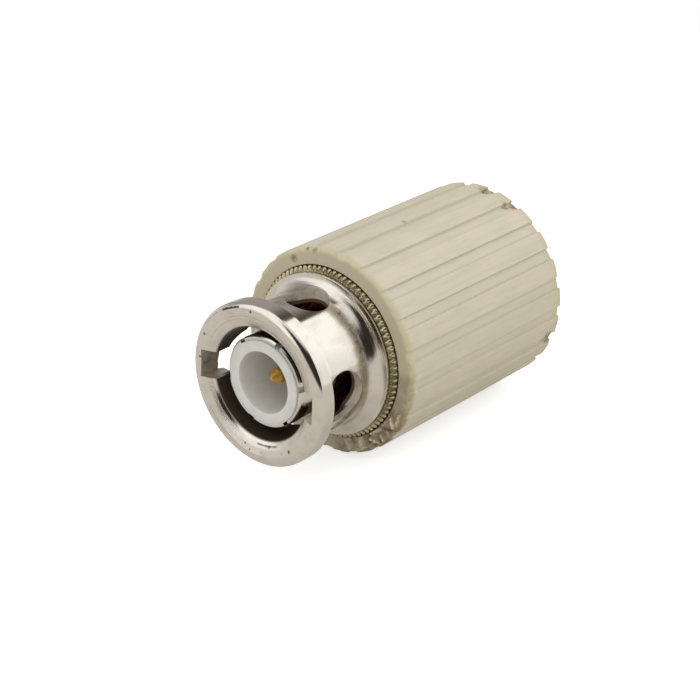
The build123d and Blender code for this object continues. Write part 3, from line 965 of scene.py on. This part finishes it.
def moulded_beige():
    """Old moulded plastic: matt beige with faint streaks along the mould, greyer and greener in the
    grooves, yellowed at its worn ends, with brown dirt in the dents, brown dirt and painted shade on the
    lower front, and on the torn flash a brown painted shade low down and a pale painted highlight on its
    tops."""
    material, tree, place = new_material("moulded_plastic_beige")
    radius, depth, angle = round_axis(tree, place)
    drawn = add_node(tree, "VectorMath", MULTIPLY, place, (1.0, 1.0, 0.07))
    streaks = add_node(tree, "TexNoise", {}, drawn, grains(0.35), 4.0, 0.6)
    cloud = add_node(tree, "TexNoise", {}, place, grains(3.0), 3.0, 0.55)
    fine = add_node(tree, "TexNoise", {}, place, grains(0.12), 4.0, 0.6)
    cloudy = add_node(tree, "MapRange", SMOOTH, cloud, 0.35, 0.65, 0.0, 1.0)
    colour = add_node(tree, "Mix", COLOUR, cloudy, PLASTIC, PLASTIC_CLOUD)
    streaky = add_node(tree, "MapRange", SMOOTH, streaks, 0.4, 0.7, 0.0, 0.35)
    colour = add_node(tree, "Mix", COLOUR, streaky, colour, PLASTIC_STREAK)

    groove = window(tree, radius, depth, 8.6, COVER_RADIUS - 0.13, COVER_FRONT + 0.6, 29.4, 0.06)
    groove = add_node(tree, "Math", MULTIPLY, groove, 0.45)
    colour = add_node(tree, "Mix", COLOUR, groove, colour, PLASTIC_GROOVE)
    waves = add_node(tree, "TexNoise", {}, place, grains(0.8), 3.0, 0.55)
    wavy = add_node(tree, "Math", MULTIPLY_ADD, waves, -1.2, depth)
    front = add_node(tree, "MapRange", SMOOTH, wavy, 8.6, 9.15, 0.7, 0.0)
    back = add_node(tree, "MapRange", SMOOTH, wavy, 28.5, 29.8, 0.0, 0.56)
    worn_ends = add_node(tree, "Math", MAXIMUM, front, back)
    colour = add_node(tree, "Mix", COLOUR, worn_ends, colour, PLASTIC_WORN)
    face = window(tree, radius, depth, 7.6, 8.75, 8.0, COVER_FRONT + 0.03, 0.02)
    face = add_node(tree, "Math", MULTIPLY, face, 0.7)
    colour = add_node(tree, "Mix", COLOUR, face, colour, PLASTIC_FACE)

    tens = add_node(tree, "Math", MULTIPLY, angle, 0.1)
    # Brown dirt and painted shade on the lower right of the front face
    smeared_and_shaded = window(tree, tens, depth, -6.0, 0.2, 8.0, COVER_FRONT + 0.35, 0.3)
    uneven = add_node(tree, "TexNoise", {}, place, grains(0.9), 3.0, 0.55)
    uneven = add_node(tree, "MapRange", SMOOTH, uneven, 0.3, 0.6, 0.25, 0.6)
    smeared_and_shaded = add_node(tree, "Math", MULTIPLY, smeared_and_shaded, uneven)
    colour = add_node(tree, "Mix", COLOUR, smeared_and_shaded, colour, COVER_SMEAR_AND_SHADE)
    colour = torn_flash(tree, place, depth, tens, colour)

    dents = patches(tree, place, COVER_MARKS)
    patchy = add_node(tree, "TexNoise", {}, place, grains(0.25), 4.0, 0.55)
    patchy = add_node(tree, "MapRange", SMOOTH, patchy, 0.3, 0.6, 0.16, 0.8)
    dents = add_node(tree, "Math", MULTIPLY, dents, patchy)
    colour = add_node(tree, "Mix", COLOUR, dents, colour, COVER_GRIME)
    height = add_node(tree, "Math", MULTIPLY_ADD, streaks, 1.5, fine)
    drive(
        material, Base_Color=colour,
        Roughness=add_node(tree, "Math", MULTIPLY_ADD, fine, 0.2, 0.42),
        Normal=add_node(tree, "Bump", {}, Distance=0.012 * MM, Height=height),
    )
    return material


def paint(node, material):
    """Gives a CAD node's every slot the material."""
    for slot in frame["nodes"][node].material_slots:
        slot.material = material


def white_floor():
    """White paper under the part: a sheet that the camera sees as white, with the part's shadow on it,
    and that is clear from below."""
    half = FLOOR_SIZE / 2 * MM
    low = cad_low.y - FLOOR_GAP * MM
    corners = [(-half, -half, low), (half, -half, low), (half, half, low), (-half, half, low)]
    piece = mesh_object("floor", corners, [(0, 1, 2, 3)])
    material = bpy.data.materials.new("white_paper")
    material.use_nodes = True
    tree = material.node_tree
    tree.nodes.remove(tree.nodes["Principled BSDF"])
    path = add_node(tree, "LightPath", {}).node.outputs
    glossy = path["Is Glossy Ray"]

    paper = add_node(tree, "BsdfDiffuse", {}, PAPER)
    glow = add_node(tree, "Emission", {}, "#FFFFFF", PAPER_GLOW)
    seen = add_node(tree, "AddShader", {}, paper, glow)

    shaded = add_node(tree, "Mix", COLOUR, glossy, PAPER_SHADED, PAPER_MIRRORED)
    dim = add_node(tree, "BsdfDiffuse", {}, shaded)
    strength = add_node(tree, "Math", MULTIPLY, glossy, MIRRORED_GLOW)
    gleam = add_node(tree, "Emission", {}, PAPER_GLEAM, strength)
    unseen = add_node(tree, "AddShader", {}, dim, gleam)

    direct = add_node(tree, "Math", MAXIMUM, path["Is Camera Ray"], path["Is Transmission Ray"])
    sheet = add_node(tree, "MixShader", {}, direct, unseen, seen)
    below = add_node(tree, "NewGeometry", {}, output="Backfacing")
    clear = add_node(tree, "BsdfTransparent", {})
    sheet = add_node(tree, "MixShader", {}, below, sheet, clear)
    tree.links.new(sheet, tree.nodes["Material Output"].inputs["Surface"])
    piece.data.materials.append(material)


def world():
    """What the nickel mirrors, and an even white for matt surfaces and the camera."""
    sky = bpy.data.worlds.new("studio")
    bpy.context.scene.world = sky
    sky.use_nodes = True
    tree = sky.node_tree
    back = tree.nodes["Background"]
    path = add_node(tree, "LightPath", {}).node.outputs
    direction = add_node(tree, "TexCoord", {}, output="Generated")
    x, y, z, lit_side = (
        add_node(tree, "VectorMath", {"operation": "DOT_PRODUCT"}, direction, UPRIGHT @ Vector(axis))
        for axis in ((1, 0, 0), (0, 1, 0), (0, 0, 1), MATT_SIDE)
    )
    turn = add_node(tree, "Math", {"operation": "ARCTAN2"}, y, x)
    azimuth = add_node(tree, "Math", MULTIPLY, turn, 180 / pi)
    rise = add_node(tree, "Math", {"operation": "ARCSINE"}, z)
    elevation = add_node(tree, "Math", MULTIPLY, rise, 180 / pi)
    mirrored = STUDIO_LEVEL
    for left, right, low, high, soft, level in STUDIO_PANELS:
        panel = window(tree, azimuth, elevation, left, right, low, high, soft)
        mirrored = add_node(tree, "Mix", FLOAT, panel, mirrored, level)
    matt = add_node(tree, "MapRange", SMOOTH, lit_side, -0.8, 0.8, *MATT_LEVELS)
    lit = add_node(tree, "Mix", FLOAT, path["Is Diffuse Ray"], mirrored, matt)
    strength = add_node(tree, "Mix", FLOAT, path["Is Camera Ray"], lit, 1.0)
    tree.links.new(strength, back.inputs["Strength"])
    dim = add_node(tree, "MapRange", SMOOTH, strength, 0.05, 0.5, 1.0, 0.0)
    tree.links.new(add_node(tree, "Mix", COLOUR, dim, "#FFFFFF", STUDIO_TINT), back.inputs["Color"])


def camera():
    """The photograph's view of the lying part."""
    data = bpy.data.cameras.new("camera")
    data.lens = CAMERA_LENS
    data.sensor_width = SENSOR_WIDTH
    data.clip_start = 0.001
    data.clip_end = 10
    piece = bpy.data.objects.new("camera", data)
    view = Euler((radians(90 - CAMERA_ELEVATION), 0, radians(CAMERA_AZIMUTH))).to_matrix().to_4x4()
    piece.matrix_world = UPRIGHT @ Matrix.Translation(Vector(CAMERA_PLACE) * MM) @ view
    bpy.context.scene.collection.objects.link(piece)
    bpy.context.scene.camera = piece


NICKEL = nickel_plate()
CUT_NICKEL = cut_nickel()
KNURL = knurl_nickel()
BEIGE = moulded_beige()
PTFE = turned_ptfe()
# Gold plate: a soft yellow gloss on the pin
GOLD = plain_material("gold_plate", "#EABE6E", "#D09C48", 0.45, 1.0, 0.3)
# Moulded silicone: satin red, seen only as a dark red in the openings
RED = plain_material("moulded_silicone_red", "#A03426", "#8E2C20", 0.5)
# Rolled spring steel: grey, with a dull gloss
STEEL = plain_material("rolled_spring_steel", "#9A9A98", "#8A8A88", 0.3, 1.0)
# Solder as it flowed: bright and a little lumpy
SOLDER = plain_material("flowed_solder", "#BFC1C2", "#A9ABAC", 0.22, 1.0, 0.5, 0.01)
# Tinned copper wire: warm grey, half bright
TINNED = plain_material("tinned_copper_wire", "#C9C4BC", "#B9AFA0", 0.28, 1.0, 0.3)
# Pressed tinned steel: grey and half bright
CAP = plain_material("pressed_tinned_steel", "#B9B8B2", "#A5A39C", 0.32, 1.0, 0.3)
# Dipped lacquer on the resistor: glossy blue grey, slightly wavy
LACQUER = plain_material("dipped_lacquer_blue_grey", "#7FA0A8", "#759298", 0.2, 0.0, 0.5, 0.006)
# Extruded sleeve: off white, half matt
SLEEVE = plain_material("extruded_sleeve", "#D9D6CC", "#CFCBC0", 0.35, 0.0, 0.6)

nut = coupling_nut(NICKEL, CUT_NICKEL)
band = knurl_band(KNURL)
cover = insulating_cover(BEIGE)
washer = spring_washer(STEEL)
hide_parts("coupling_nut")
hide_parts("insulating_cover")
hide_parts("wave_washer")

COATS = {
    NICKEL: ("plug_body", "rear_shell", "end_disc", "thrust_washer"),
    STEEL: ("snap_ring",),
    PTFE: ("front_insulator", "rear_bead"),
    GOLD: ("centre_contact",),
    RED: ("gasket",),
    SOLDER: ("front_solder", "rear_solder"),
    TINNED: ("front_lead", "rear_lead"),
    CAP: ("resistor_front_cap", "resistor_rear_cap"),
    LACQUER: ("resistor_core",),
    SLEEVE: ("insulating_sleeve",),
}
for coat, nodes in COATS.items():
    for node in nodes:
        paint(node, coat)

white_floor()
camera()
world()

bpy.context.scene.view_settings.view_transform = "Standard"
